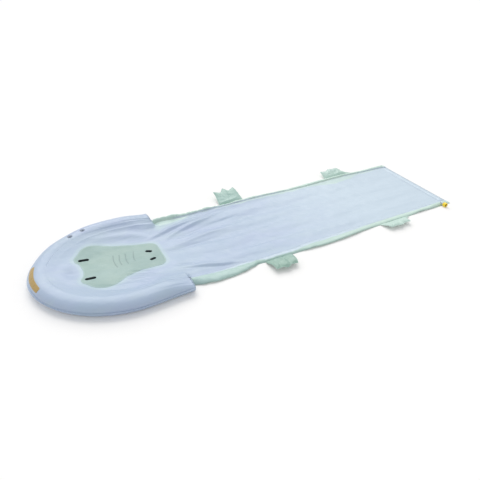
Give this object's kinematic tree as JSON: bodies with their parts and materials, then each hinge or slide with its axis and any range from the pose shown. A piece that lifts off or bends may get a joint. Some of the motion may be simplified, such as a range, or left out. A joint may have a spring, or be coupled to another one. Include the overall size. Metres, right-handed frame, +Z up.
{
  "type": "water slide mat",
  "caption": "Water slide mat: film runway with spray channels, an air-filled U bumper with valves, a crocodile head panel, film feet and a swivel hose coupling.",
  "frame": {"origin": "on the ground under the middle of the outline", "axes": "+X from the bumper's nose to the hose end, +Y to the right side as the rider faces the bumper, +Z up"},
  "size_m": [3.0001, 1.0918, 0.0934],
  "materials": {
    "blue_film": "satin soft vinyl film",
    "green_film": "satin soft vinyl film",
    "clear_soft_vinyl": "soft clear vinyl moulding",
    "white_soft_vinyl": "soft white vinyl moulding",
    "yellow_plastic": "moulded rigid plastic",
    "black_rubber": "plain"
  },
  "bodies": {
    "mat": {"ground_sheet": "green_film", "slide_sheet": "blue_film", "spray_channel_left": "green_film", "spray_channel_right": "green_film", "rear_feed_channel": "blue_film", "croc_head_panel": "green_film", "bumper_upper_skin": "blue_film", "bumper_lower_skin": "blue_film", "arm_end_panel_left": "blue_film", "arm_end_panel_right": "blue_film", "valve_flange_1": "clear_soft_vinyl", "valve_flange_2": "clear_soft_vinyl", "inlet_sleeve": "clear_soft_vinyl", "hose_adapter": "yellow_plastic", "hose_washer": "black_rubber"},
    "coupling_nut": {"coupling_nut": "yellow_plastic"},
    "valve_stem_1": {"valve_stem_1": "clear_soft_vinyl"},
    "valve_plug_1": {"valve_plug_1": "white_soft_vinyl"},
    "valve_flap_1": {"valve_flap_1": "clear_soft_vinyl"},
    "valve_stem_2": {"valve_stem_2": "clear_soft_vinyl"},
    "valve_plug_2": {"valve_plug_2": "white_soft_vinyl"},
    "valve_flap_2": {"valve_flap_2": "clear_soft_vinyl"},
    "front_foot_left": {"front_foot_left": "green_film"},
    "front_foot_right": {"front_foot_right": "green_film"},
    "rear_foot_left": {"rear_foot_left": "green_film"},
    "rear_foot_right": {"rear_foot_right": "green_film"}
  },
  "joints": [
    {"name": "stem_1_pull_out", "type": "slide", "parent": "mat", "child": "valve_stem_1", "axis": [0, 0, 1], "range_m": [0, 0.012]},
    {"name": "plug_1_strap", "type": "hinge", "parent": "valve_stem_1", "child": "valve_plug_1", "pos_m": [-1.17892, 0.34935, 0.09205], "axis": [-0.4775, 0.8786, 0], "range_deg": [0, 160]},
    {"name": "flap_1_tongue", "type": "hinge", "parent": "valve_stem_1", "child": "valve_flap_1", "pos_m": [-1.1827, 0.34729, 0.0749], "axis": [0.4775, -0.8786, 0], "range_deg": [0, 60], "stiffness_Nm_per_rad": 0.0005},
    {"name": "stem_2_pull_out", "type": "slide", "parent": "mat", "child": "valve_stem_2", "axis": [0, 0, 1], "range_m": [0, 0.012]},
    {"name": "plug_2_strap", "type": "hinge", "parent": "valve_stem_2", "child": "valve_plug_2", "pos_m": [-1.09082, 0.38543, 0.09205], "axis": [-0.3169, 0.9485, 0], "range_deg": [0, 160]},
    {"name": "flap_2_tongue", "type": "hinge", "parent": "valve_stem_2", "child": "valve_flap_2", "pos_m": [-1.0949, 0.38406, 0.0749], "axis": [0.3169, -0.9485, 0], "range_deg": [0, 60], "stiffness_Nm_per_rad": 0.0005},
    {"name": "coupling_nut_swivel", "type": "hinge", "parent": "mat", "child": "coupling_nut", "pos_m": [1.42, -0.402, 0.0165], "axis": [0, -1, 0], "continuous": true},
    {"name": "front_foot_left_weld_line", "type": "hinge", "parent": "mat", "child": "front_foot_left", "pos_m": [-0.04, -0.388, 0.0016], "axis": [-1, 0, 0], "range_deg": [-20, 67]},
    {"name": "front_foot_right_weld_line", "type": "hinge", "parent": "mat", "child": "front_foot_right", "pos_m": [0.01, 0.388, 0.0016], "axis": [1, 0, 0], "range_deg": [-20, 67]},
    {"name": "rear_foot_left_weld_line", "type": "hinge", "parent": "mat", "child": "rear_foot_left", "pos_m": [0.9, -0.381, 0.0016], "axis": [-1, 0, 0], "range_deg": [-20, 67]},
    {"name": "rear_foot_right_weld_line", "type": "hinge", "parent": "mat", "child": "rear_foot_right", "pos_m": [0.98, 0.381, 0.0016], "axis": [1, 0, 0], "range_deg": [-20, 67]}
  ]
}
